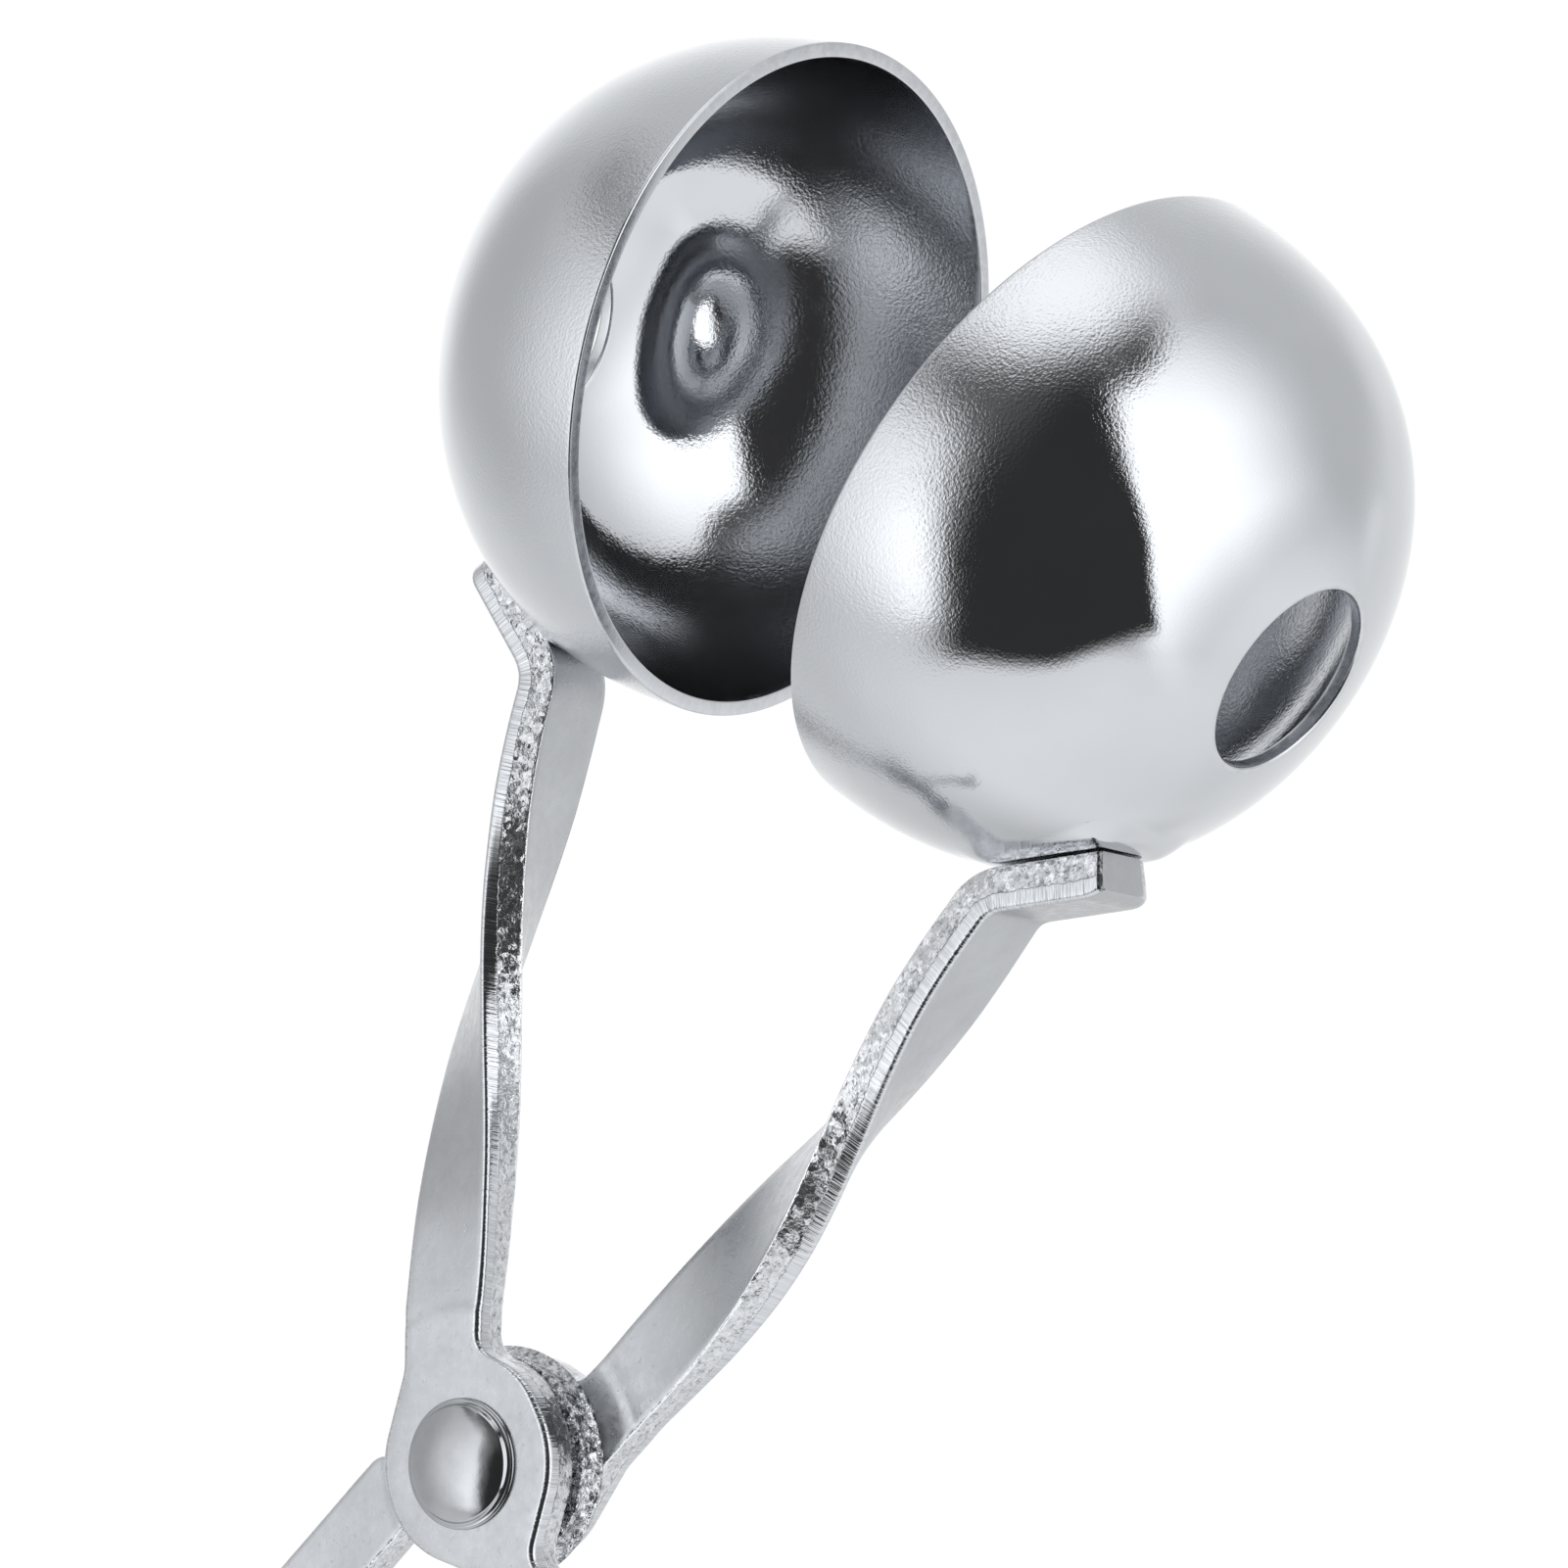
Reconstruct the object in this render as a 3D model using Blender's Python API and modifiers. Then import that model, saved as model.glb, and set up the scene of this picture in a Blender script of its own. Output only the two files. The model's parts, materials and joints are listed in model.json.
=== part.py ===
"""Meatball scoop: two riveted sheet-steel levers, each carrying half of a ball mould.

The tool is modelled round its rivet, in millimetres: +X runs from the rivet to the cups,
+Y to the left cup, and +Z along the rivet towards its domed head. One stamping serves both
sides: the rear lever is the front one turned over about X, and only its arm is set to the
height of its own cup. An empty then lays the whole tool on a table: a cup and the ends of
both handles touch Z = 0.
"""
import math

import bmesh
import bpy
import numpy as np
from mathutils import Matrix, Vector

MM = 0.001

# Half-ball cups, turned about the axis through the drain hole
CUP_RADIUS = 22.5
CUP_DEPTH = 21.7
CUP_FULLNESS = 2.27  # exponent of the superellipse; 2 would be a plain ellipse
CUP_WALL = 1.0
CUP_EDGE_BREAK = 0.18
DRAIN_HOLE_RADIUS = 6.4
PIVOT_TO_CUP = 73.7
CUP_DROP = 1.2  # middle of the cups below the middle of the rivet stack
CUP_STAGGER = 0.6  # the left cup sits this much lower, the right cup this much higher
RIM_GAP = 0.3  # left between the two rims when the scoop is shut

# Levers, stamped from one thickness of strip
SHEET = 2.45
EDGE_ROLL = 0.3  # rounding of the sheared edges
EYE_RADIUS = 6.6
EYE_INNER_RADIUS = 7.05  # on the side that faces the other lever's arm
EYE_COINING = 0.06  # the eye is this much prouder than the strip, on each face
ARM_ROOT = (9.0, 4.75)
ARM_ROOT_WIDTH = 6.3
ARM_MID = (27.0, 9.8)
ARM_WIDTH = 7.1
ARM_BEND_RADIUS = 78.0
HEEL_BEND_RADIUS = 3.4
TAB_WIDTH = 5.8
TAB_ANGLE = 39.0  # where the tab touches the cup, seen from the cup's centre
TAB_REACH = 4.3  # from that touch to the end of the tab
TAB_HEEL = 6.2  # from that touch back to the corner of the heel
TAB_GAP = 0.3  # between the tab and the cup, where the weld is
TAB_STAGGER = 0.5  # the left tab is this much lower than the middle, the right one higher
TWIST = 90.0
TWIST_START = -3.0  # along the arm, from its root
ARM_LAP = 3.5  # the arm's strip starts this far inside the eye
HANDLE_ROOT = (-9.0, -7.4)
HANDLE_ROOT_WIDTH = 5.4
HANDLE_MID = (-52.0, -16.8)
HANDLE_END = (-110.0, -13.0)
HANDLE_BEND_RADIUS = 130.0
HANDLE_TWIST_START = 8.0  # along the handle, from its root
HANDLE_TWIST_LENGTH = 34.0
HANDLE_LAP = 1.5
GRIP_WIDTH = 8.0

# Rivet and spacer
SHANK_RADIUS = 2.5
SHANK_CLEARANCE = 0.08
HEAD_RADIUS = 4.3
HEAD_HEIGHT = 1.4
TAIL_RADIUS = 3.9
TAIL_HEIGHT = 1.3
HEAD_EDGE = 0.35
SPACER_RADIUS = 7.5
SPACER_THICKNESS = 2.1
SEAT_GAP = 0.3  # between the flat faces that rub on each other

# Opening of the scoop as it is modelled: the angle from cup to cup
OPENING = 18.0

# Fineness of the round shapes
CUP_STEPS = 48
RIVET_STEPS = 32
SPACER_STEPS = 40
ARM_STEP = 1.9
HANDLE_STEP = 3.2

EYE_THICKNESS = SHEET + 2 * EYE_COINING
LAYER = SPACER_THICKNESS / 2 + SEAT_GAP + EYE_THICKNESS / 2  # from mid-stack to mid-eye
STACK_FACE = LAYER + EYE_THICKNESS / 2


def remove_all_objects():
    for obj in list(bpy.data.objects):
        bpy.data.objects.remove(obj, do_unlink=True)


def new_collection(name):
    collection = bpy.data.collections.new(name)
    bpy.context.scene.collection.children.link(collection)
    return collection


def steel(name, color, roughness):
    material = bpy.data.materials.new(name)
    material.use_nodes = True
    shader = material.node_tree.nodes["Principled BSDF"]
    shader.inputs["Base Color"].default_value = (*color, 1.0)
    shader.inputs["Roughness"].default_value = roughness
    shader.inputs["Metallic"].default_value = 1.0
    return material


def new_object(name, mesh, collection, material=None):
    obj = bpy.data.objects.new(name, mesh)
    collection.objects.link(obj)
    if material:
        mesh.materials.append(material)
    return obj


def as_guide(obj):
    obj.hide_render = True
    obj.display_type = "WIRE"
    return obj


def smooth(mesh, angle=35.0):
    mesh.shade_smooth()
    mesh.set_sharp_from_angle(angle=math.radians(angle))


def add_boolean(obj, other, operation):
    modifier = obj.modifiers.new(f"{operation.lower()}_{other.name}", "BOOLEAN")
    modifier.operation = operation
    modifier.object = other
    modifier.solver = "EXACT"


# Turned shapes

def turned_mesh(name, profile):
    """A closed loop of (radius, height) points, in metres, ready for a Screw modifier."""
    mesh = bpy.data.meshes.new(name)
    points = [(radius * MM, 0.0, height * MM) for radius, height in profile]
    count = len(points)
    mesh.from_pydata(points, [(i, (i + 1) % count) for i in range(count)], [])
    return mesh


def add_screw(obj, steps):
    screw = obj.modifiers.new("turn", "SCREW")
    screw.axis = "Z"
    screw.angle = math.tau
    screw.steps = steps
    screw.render_steps = steps
    screw.use_merge_vertices = True
    screw.merge_threshold = 0.00001
    screw.use_smooth_shade = True


def superellipse_radius(height, radius, depth):
    """Radius of the cup's skin at a height above its rim plane."""
    share = min(max(height / depth, 0.0), 1.0)
    return radius * (1.0 - share ** CUP_FULLNESS) ** (1.0 / CUP_FULLNESS)


def cup_skin(radius, depth, count):
    """Points on one skin from the drain hole down to the rim, evenly turned."""
    hole = math.acos(min(DRAIN_HOLE_RADIUS / radius, 1.0) ** (CUP_FULLNESS / 2.0))
    points = []
    for i in range(count + 1):
        angle = hole * (1.0 - i / count)
        height = depth * math.sin(angle) ** (2.0 / CUP_FULLNESS)
        points.append((superellipse_radius(height, radius, depth), height))
    return points


def cup_profile():
    """The cup's section: outer skin down, rim, inner skin up, edge of the drain hole."""
    outer = cup_skin(CUP_RADIUS, CUP_DEPTH, 13)
    inner = cup_skin(CUP_RADIUS - CUP_WALL, CUP_DEPTH - CUP_WALL, 12)[::-1]
    edge = CUP_EDGE_BREAK
    top_outer, top_inner = outer[0], inner[-1]
    hole_edge = [(top_inner[0], top_inner[1] + edge), (top_outer[0], top_outer[1] - edge)]
    top = [(top_outer[0] + edge, superellipse_height(top_outer[0] + edge))]
    rim = [
        (CUP_RADIUS, edge),
        (CUP_RADIUS - edge, 0.0),
        (CUP_RADIUS - CUP_WALL + edge, 0.0),
        (CUP_RADIUS - CUP_WALL, edge),
    ]
    return top + outer[1:-1] + rim + inner[1:] + hole_edge


def superellipse_height(radius):
    """Height of the outer skin above the rim plane at a radius."""
    share = min(radius / CUP_RADIUS, 1.0)
    return CUP_DEPTH * (1.0 - share ** CUP_FULLNESS) ** (1.0 / CUP_FULLNESS)


def make_cup(name, side, parent, collection, material):
    """side is +1 for the left cup and -1 for the right one."""
    cup = new_object(name, turned_mesh(name, cup_profile()), collection, material)
    add_screw(cup, CUP_STEPS)
    cup.parent = parent
    height = -CUP_DROP - side * CUP_STAGGER
    cup.location = Vector((PIVOT_TO_CUP, side * RIM_GAP / 2, height)) * MM
    cup.rotation_euler = (-side * math.pi / 2, 0.0, 0.0)
    return cup


# Flat eye of the lever

def rounded_outline(corners, arc_steps=7):
    """Polygon of (x, y, radius) corners with each corner turned into an arc."""
    outline = []
    count = len(corners)
    for i, (x, y, radius) in enumerate(corners):
        here = Vector((x, y))
        to_last = Vector(corners[i - 1][:2]) - here
        to_next = Vector(corners[(i + 1) % count][:2]) - here
        half = to_last.angle(to_next) / 2
        room = 0.49 * min(to_last.length, to_next.length)
        reach = min(radius / math.tan(half), room)
        if reach < 0.01:
            outline.append(here)
            continue
        radius = reach * math.tan(half)
        centre = here + (to_last.normalized() + to_next.normalized()).normalized() * (
            radius / math.sin(half))
        start = here + to_last.normalized() * reach - centre
        end = here + to_next.normalized() * reach - centre
        turn = start.angle_signed(end)
        for step in range(arc_steps + 1):
            spoke = start.copy()
            spoke.rotate(Matrix.Rotation(-turn * step / arc_steps, 2))
            outline.append(centre + spoke)
    return outline


def offset_point(point, heading, distance):
    """A point moved to the left of a heading in degrees."""
    angle = math.radians(heading)
    return (point[0] - math.sin(angle) * distance, point[1] + math.cos(angle) * distance)


def quarter_turn(radius, start):
    """Corners round a quarter of a circle about the rivet, from a start angle in degrees."""
    corners = []
    for angle in (start + 22.5, start + 67.5):
        reach = radius / math.cos(math.radians(22.5))
        spot = math.radians(angle)
        corners.append((reach * math.cos(spot), reach * math.sin(spot), radius))
    return corners


def heading_between(start, end):
    return math.degrees(math.atan2(end[1] - start[1], end[0] - start[0]))


def eye_outline():
    """The stamped eye with a tongue towards the arm and one towards the handle."""
    r = EYE_RADIUS
    arm_heading = heading_between(ARM_ROOT, ARM_MID)
    handle_heading = heading_between(HANDLE_ROOT, HANDLE_MID)
    arm_outer = offset_point(ARM_ROOT, arm_heading, ARM_ROOT_WIDTH / 2)
    arm_inner = offset_point(ARM_ROOT, arm_heading, -ARM_ROOT_WIDTH / 2)
    handle_inner = offset_point(HANDLE_ROOT, handle_heading, -HANDLE_ROOT_WIDTH / 2)
    handle_outer = offset_point(HANDLE_ROOT, handle_heading, HANDLE_ROOT_WIDTH / 2)
    return rounded_outline([
        (*arm_inner, 0.0),
        (*arm_outer, 0.0),
        (arm_outer[0] - 0.6 * r, r, 0.5 * r),
        *quarter_turn(r, 90.0),
        (-r, handle_inner[1] + 0.5, 0.25 * r),
        (*handle_inner, 0.0),
        (*handle_outer, 0.0),
        (handle_outer[0] + 2.6, handle_outer[1] + 0.6, 0.25 * r),
        (-0.62 * r, -1.07 * r, 0.3 * r),
        *quarter_turn(EYE_INNER_RADIUS, -90.0),
        (1.05 * EYE_INNER_RADIUS, arm_inner[1] - 0.6, 0.3 * r),
    ])


def make_plate(name, outline, thickness, roll):
    """A flat outline extruded about Z = 0, with rolled edges, as a mesh."""
    curve = bpy.data.curves.new(name, "CURVE")
    curve.dimensions = "2D"
    curve.fill_mode = "BOTH"
    curve.extrude = (thickness / 2 - roll) * MM
    curve.bevel_depth = roll * MM
    curve.offset = -roll * MM
    curve.bevel_resolution = 1
    spline = curve.splines.new("POLY")
    spline.points.add(len(outline) - 1)
    for point, place in zip(spline.points, outline):
        point.co = (place[0] * MM, place[1] * MM, 0.0, 1.0)
    spline.use_cyclic_u = True
    source = bpy.data.objects.new(name + "_outline", curve)
    bpy.context.scene.collection.objects.link(source)
    graph = bpy.context.evaluated_depsgraph_get()
    mesh = bpy.data.meshes.new_from_object(source.evaluated_get(graph))
    bpy.data.objects.remove(source, do_unlink=True)
    bm = bmesh.new()
    bm.from_mesh(mesh)
    bmesh.ops.remove_doubles(bm, verts=bm.verts, dist=0.000001)
    bmesh.ops.recalc_face_normals(bm, faces=bm.faces)
    bm.to_mesh(mesh)
    bm.free()
    return mesh


# Twisted and bent strips

def bent_path(corners, step=1.0):
    """Points along straight runs with an arc of the given radius at each inner corner."""
    path = [Vector(corners[0][:2])]
    for (ax, ay, _), (bx, by, radius), (cx, cy, _) in zip(corners, corners[1:], corners[2:]):
        here = Vector((bx, by))
        back = Vector((ax, ay)) - here
        ahead = Vector((cx, cy)) - here
        half = back.angle(ahead) / 2
        reach = min(radius / math.tan(half), 0.49 * min(back.length, ahead.length))
        radius = reach * math.tan(half)
        centre = here + (back.normalized() + ahead.normalized()).normalized() * (
            radius / math.sin(half))
        start = here + back.normalized() * reach - centre
        end = here + ahead.normalized() * reach - centre
        turn = start.angle_signed(end)
        pieces = max(6, int(abs(turn) * radius / step))
        for i in range(pieces + 1):
            spoke = start.copy()
            spoke.rotate(Matrix.Rotation(-turn * i / pieces, 2))
            path.append(centre + spoke)
    path.append(Vector(corners[-1][:2]))
    return np.array([tuple(point) for point in path])


def resampled(path, step):
    """Points at equal steps, and their distances from the start of the path."""
    lengths = np.concatenate([[0.0], np.cumsum(np.hypot(*np.diff(path, axis=0).T))])
    count = max(2, int(round(lengths[-1] / step)))
    stations = np.linspace(0.0, lengths[-1], count + 1)
    places = np.column_stack([np.interp(stations, lengths, path[:, i]) for i in (0, 1)])
    return places, stations


def ease(value):
    """Runs from 0 to 1 with a soft start and a soft end."""
    value = np.clip(value, 0.0, 1.0)
    return value * value * (3.0 - 2.0 * value)


def soft_ramp(value, softness=0.15):
    """A straight ramp from 0 to 1 whose two ends are rounded."""
    value = np.clip(value, 0.0, 1.0)
    return (1.0 - softness) * value + softness * ease(value)


def strip_section(width, thickness, roll):
    """Outline of the strip across its length, counter-clockwise, as (across, through)."""
    corner = roll * (1.0 - math.sqrt(0.5))
    half_w, half_t = width / 2, thickness / 2
    quarter = [
        (half_w - roll, half_t),
        (half_w - corner, half_t - corner),
        (half_w, half_t - roll),
    ]
    top_left = [(-w, t) for w, t in quarter]
    bottom_left = [(-w, -t) for w, t in quarter[::-1]]
    bottom_right = [(w, -t) for w, t in quarter]
    return quarter[::-1] + top_left + bottom_left + bottom_right


def loft_strip(name, places, heights, twists, widths, thickness, roll):
    """A solid strip through the stations; twist turns the outer edge down, in degrees."""
    bm = bmesh.new()
    rings = []
    centres = [Vector((x, y, z)) for (x, y), z in zip(places, heights)]
    for i, centre in enumerate(centres):
        tangent = (centres[min(i + 1, len(centres) - 1)] - centres[max(i - 1, 0)]).normalized()
        left = Vector((0.0, 0.0, 1.0)).cross(tangent).normalized()
        up = tangent.cross(left)
        angle = math.radians(twists[i])
        across = left * math.cos(angle) - up * math.sin(angle)
        through = up * math.cos(angle) + left * math.sin(angle)
        ring = [
            bm.verts.new((centre + across * w + through * t) * MM)
            for w, t in strip_section(widths[i], thickness, roll)
        ]
        rings.append(ring)
    for last, ring in zip(rings, rings[1:]):
        for k in range(len(ring)):
            bm.faces.new((last[k - 1], last[k], ring[k], ring[k - 1]))
    bm.faces.new(rings[0][::-1])
    bm.faces.new(rings[-1])
    mesh = bpy.data.meshes.new(name)
    bm.to_mesh(mesh)
    bm.free()
    return mesh


def tab_line():
    """Where the middle of the tab lies, and which way it runs, from the cup's own curve."""
    angle = math.radians(TAB_ANGLE)
    c, s, n = math.cos(angle), math.sin(angle), CUP_FULLNESS
    reach = ((c / CUP_RADIUS) ** n + (s / CUP_DEPTH) ** n) ** (-1.0 / n)
    x, y = reach * c, reach * s
    normal = Vector((-x ** (n - 1) / CUP_RADIUS ** n, y ** (n - 1) / CUP_DEPTH ** n))
    normal.normalize()
    touch = Vector((PIVOT_TO_CUP - x, RIM_GAP / 2 + y))
    middle = touch + normal * (TAB_GAP + SHEET / 2)
    along = Vector((normal.y, -normal.x))
    return middle, along


def arm_strip(drop):
    """From inside the eye, through the twist and the heel, to the end of the tab."""
    middle, along = tab_line()
    heel = middle - along * TAB_HEEL
    tip = middle + along * TAB_REACH
    root, mid = Vector(ARM_ROOT), Vector(ARM_MID)
    start = root - (mid - root).normalized() * ARM_LAP
    path = bent_path([
        (*start, 0.0),
        (*mid, ARM_BEND_RADIUS),
        (*heel, HEEL_BEND_RADIUS),
        (*tip, 0.0),
    ])
    places, stations = resampled(path, ARM_STEP)
    heel_at = stations[-1] - TAB_REACH - TAB_HEEL
    share = (stations - ARM_LAP) / (heel_at - ARM_LAP)
    twist_at = ARM_LAP + TWIST_START
    twists = TWIST * ease((stations - twist_at) / (heel_at - twist_at))
    heights = -drop * soft_ramp(share)
    widths = np.interp(share, [0.0, 0.4, 0.7, 1.0],
                       [ARM_ROOT_WIDTH, ARM_WIDTH, ARM_WIDTH, TAB_WIDTH])
    return loft_strip("arm_strip", places, heights, twists, widths, SHEET, EDGE_ROLL)


def handle_strip(drop):
    """From inside the eye to the rounded end of the grip."""
    root, mid, end = Vector(HANDLE_ROOT), Vector(HANDLE_MID), Vector(HANDLE_END)
    start = root - (mid - root).normalized() * HANDLE_LAP
    path = bent_path([(*start, 0.0), (*mid, HANDLE_BEND_RADIUS), (*end, 0.0)])
    places, stations = resampled(path, HANDLE_STEP)
    tail = stations[-1] - np.array([GRIP_WIDTH / 2, 2.2, 1.0, 0.3])
    stations_end = np.concatenate([stations[stations < tail[0] - 1.0], tail, stations[-1:]])
    places = np.column_stack([np.interp(stations_end, stations, places[:, i]) for i in (0, 1)])
    stations = stations_end
    share = (stations - HANDLE_LAP - HANDLE_TWIST_START) / HANDLE_TWIST_LENGTH
    twists = TWIST * soft_ramp(share)
    heights = -drop * ease(share)
    widths = HANDLE_ROOT_WIDTH + (GRIP_WIDTH - HANDLE_ROOT_WIDTH) * ease(share)
    from_end = stations[-1] - stations
    rounding = np.clip(1.0 - from_end / (GRIP_WIDTH / 2), 0.0, 0.96)
    widths = widths * np.sqrt(1.0 - rounding ** 2)
    return loft_strip("handle_strip", places, heights, twists, widths, SHEET, EDGE_ROLL)


def make_lever(name, drops, parent, collection, cutters, material):
    """A lever with its eye about Z = 0: eye, arm and handle joined, and the bore cut.

    drops are the distances from the eye's middle down to the middles of the tab and the grip.
    """
    plate = make_plate(name, eye_outline(), EYE_THICKNESS, EDGE_ROLL)
    lever = new_object(name, plate, collection, material)
    arm = as_guide(new_object(name + "_arm", arm_strip(drops[0]), cutters))
    handle = as_guide(new_object(name + "_handle", handle_strip(drops[1]), cutters))
    bpy.ops.mesh.primitive_cylinder_add(
        vertices=RIVET_STEPS,
        radius=(SHANK_RADIUS + SHANK_CLEARANCE) * MM,
        depth=2 * EYE_THICKNESS * MM,
    )
    bore = as_guide(bpy.context.active_object)
    bore.name = name + "_bore"
    for holder in bore.users_collection:
        holder.objects.unlink(bore)
    cutters.objects.link(bore)
    for piece in (arm, handle, bore):
        piece.parent = lever
    add_boolean(lever, arm, "UNION")
    add_boolean(lever, handle, "UNION")
    add_boolean(lever, bore, "DIFFERENCE")
    smooth(plate)
    lever.parent = parent
    return lever


# Rivet and spacer

def dome(radius, height, base, sign, count=6):
    """Half profile of a domed rivet end, from its crown down to its seat."""
    points = []
    for i in range(count + 1):
        angle = math.pi / 2 * (1.0 - i / count)
        r = radius * math.cos(angle)
        z = base + sign * (HEAD_EDGE + (height - HEAD_EDGE) * math.sin(angle))
        points.append((max(r, 0.0), z))
    points.append((radius, base))
    return points


def make_rivet(parent, collection, material):
    seat = STACK_FACE + SEAT_GAP
    head = dome(HEAD_RADIUS, HEAD_HEIGHT, seat, 1)
    tail = dome(TAIL_RADIUS, TAIL_HEIGHT, -seat, -1)[::-1]
    profile = head + [(SHANK_RADIUS, seat), (SHANK_RADIUS, -seat)] + tail
    mesh = bpy.data.meshes.new("pivot_rivet")
    points = [(r * MM, 0.0, z * MM) for r, z in profile]
    mesh.from_pydata(points, [(i, i + 1) for i in range(len(points) - 1)], [])
    rivet = new_object("pivot_rivet", mesh, collection, material)
    add_screw(rivet, RIVET_STEPS)
    rivet.parent = parent
    return rivet


def make_spacer(parent, collection, material):
    bore = SHANK_RADIUS + SHANK_CLEARANCE
    half = SPACER_THICKNESS / 2
    edge = CUP_EDGE_BREAK
    profile = [
        (bore, half),
        (SPACER_RADIUS - edge, half),
        (SPACER_RADIUS, half - edge),
        (SPACER_RADIUS, -half + edge),
        (SPACER_RADIUS - edge, -half),
        (bore, -half),
    ]
    spacer = new_object("spacer_washer", turned_mesh("spacer_washer", profile), collection, material)
    add_screw(spacer, SPACER_STEPS)
    spacer.parent = parent
    return spacer


# Laying the tool on the table

def world_points(objects):
    graph = bpy.context.evaluated_depsgraph_get()
    clouds = []
    for obj in objects:
        evaluated = obj.evaluated_get(graph)
        mesh = evaluated.to_mesh()
        flat = np.empty(3 * len(mesh.vertices))
        mesh.vertices.foreach_get("co", flat)
        matrix = np.array(obj.matrix_world)
        clouds.append(flat.reshape(-1, 3) @ matrix[:3, :3].T + matrix[:3, 3])
        evaluated.to_mesh_clear()
    return np.vstack(clouds)


def heights_when_tipped(points, angle):
    return points[:, 2] * math.cos(angle) + points[:, 0] * math.sin(angle)


def lay_on_table(frame, cups, levers):
    """Tips the frame until cups and handles touch one plane, then centres it over the origin."""
    bpy.context.view_layer.update()
    cup_points = world_points(cups)
    lever_points = world_points(levers)
    handle_points = lever_points[lever_points[:, 0] < 0.0]
    low, high = 0.0, math.radians(30.0)
    for _ in range(50):
        angle = (low + high) / 2
        cup_low = heights_when_tipped(cup_points, angle).min()
        handle_low = heights_when_tipped(handle_points, angle).min()
        if cup_low < handle_low:
            low = angle
        else:
            high = angle
    frame.rotation_euler = (0.0, -angle, 0.0)
    bpy.context.view_layer.update()
    points = world_points(cups + levers)
    lowest, highest = points.min(axis=0), points.max(axis=0)
    middle = (lowest + highest) / 2
    frame.location = (-middle[0], -middle[1], -lowest[2])
    bpy.context.view_layer.update()


def main():
    remove_all_objects()
    parts = new_collection("meatball_scoop")
    cutters = new_collection("cutters")
    cup_steel = steel("cup_steel", (0.72, 0.73, 0.74), 0.18)
    strip_steel = steel("strip_steel", (0.68, 0.69, 0.70), 0.28)
    rivet_steel = steel("rivet_steel", (0.74, 0.75, 0.76), 0.15)
    spacer_steel = steel("spacer_steel", (0.55, 0.56, 0.57), 0.4)

    frame = bpy.data.objects.new("tool_frame", None)
    left_half = bpy.data.objects.new("left_half", None)
    right_half = bpy.data.objects.new("right_half", None)
    for empty in (frame, left_half, right_half):
        parts.objects.link(empty)
    for half, side in ((left_half, 1), (right_half, -1)):
        half.parent = frame
        half.rotation_euler = (0.0, 0.0, side * math.radians(OPENING / 2))

    front_drops = (LAYER + CUP_DROP + TAB_STAGGER, LAYER + CUP_DROP)
    front_lever = make_lever("front_lever", front_drops, left_half, parts, cutters, strip_steel)
    front_lever.location = (0.0, 0.0, LAYER * MM)
    rear_drops = (LAYER - CUP_DROP + TAB_STAGGER, LAYER - CUP_DROP)
    rear_lever = make_lever("rear_lever", rear_drops, right_half, parts, cutters, strip_steel)
    rear_lever.location = (0.0, 0.0, -LAYER * MM)
    rear_lever.rotation_euler = (math.pi, 0.0, 0.0)
    left_cup = make_cup("left_cup", 1, left_half, parts, cup_steel)
    right_cup = make_cup("right_cup", -1, right_half, parts, cup_steel)
    make_spacer(right_half, parts, spacer_steel)
    make_rivet(right_half, parts, rivet_steel)
    lay_on_table(frame, [left_cup, right_cup], [front_lever, rear_lever])


main()
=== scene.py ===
"""Finished look of the meatball scoop: polished cups, satin levers with sheared edges, and a studio."""
import json
import math
from collections import namedtuple

import bmesh
import bpy
import numpy as np
from mathutils import Matrix, Vector


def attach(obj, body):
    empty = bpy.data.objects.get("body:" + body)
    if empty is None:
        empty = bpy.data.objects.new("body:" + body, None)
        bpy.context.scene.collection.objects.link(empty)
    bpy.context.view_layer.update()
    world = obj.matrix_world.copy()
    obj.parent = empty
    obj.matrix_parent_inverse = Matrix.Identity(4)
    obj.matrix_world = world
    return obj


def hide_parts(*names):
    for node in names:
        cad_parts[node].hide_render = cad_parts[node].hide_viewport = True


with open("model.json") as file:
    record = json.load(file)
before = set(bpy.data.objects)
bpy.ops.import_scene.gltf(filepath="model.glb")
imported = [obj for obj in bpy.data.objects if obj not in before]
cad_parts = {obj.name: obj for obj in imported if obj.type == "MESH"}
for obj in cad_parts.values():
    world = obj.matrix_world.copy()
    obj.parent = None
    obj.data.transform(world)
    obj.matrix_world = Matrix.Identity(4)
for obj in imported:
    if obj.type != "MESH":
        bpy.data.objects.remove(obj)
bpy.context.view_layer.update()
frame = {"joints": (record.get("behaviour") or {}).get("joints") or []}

MM = 0.001

# The tool's own frame: +X from the rivet to the cups, +Z along the rivet to its head, in mm
pivot = frame["joints"][0]
PIVOT_AT = Vector(pivot["pos_m"])
RIVET_AXIS = Vector(pivot["axis"])
HALF_OPENING = math.radians(9.0)

# Cups
CUP_RADIUS = 22.5
CUP_DEPTH = 21.7
CUP_FULLNESS = 2.27
CUP_WALL = 1.0
DRAIN_HOLE_RADIUS = 6.4
PIVOT_TO_CUP = 73.7
CUP_DROP = 1.2
CUP_STAGGER = 0.6
RIM_GAP = 0.3

OUTER_RINGS = 90
INNER_RINGS = 80
CUP_STEPS = 288
RIM_OUTER_ROUNDING = 0.2
RIM_INNER_ROUNDING = 0.12
HOLE_OUTER_ROUNDING = 0.3
HOLE_INNER_ROUNDING = 0.15
INNER_RIM = 38.0  # where the inner skin starts, measured along the cup's profile from the drain hole

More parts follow.
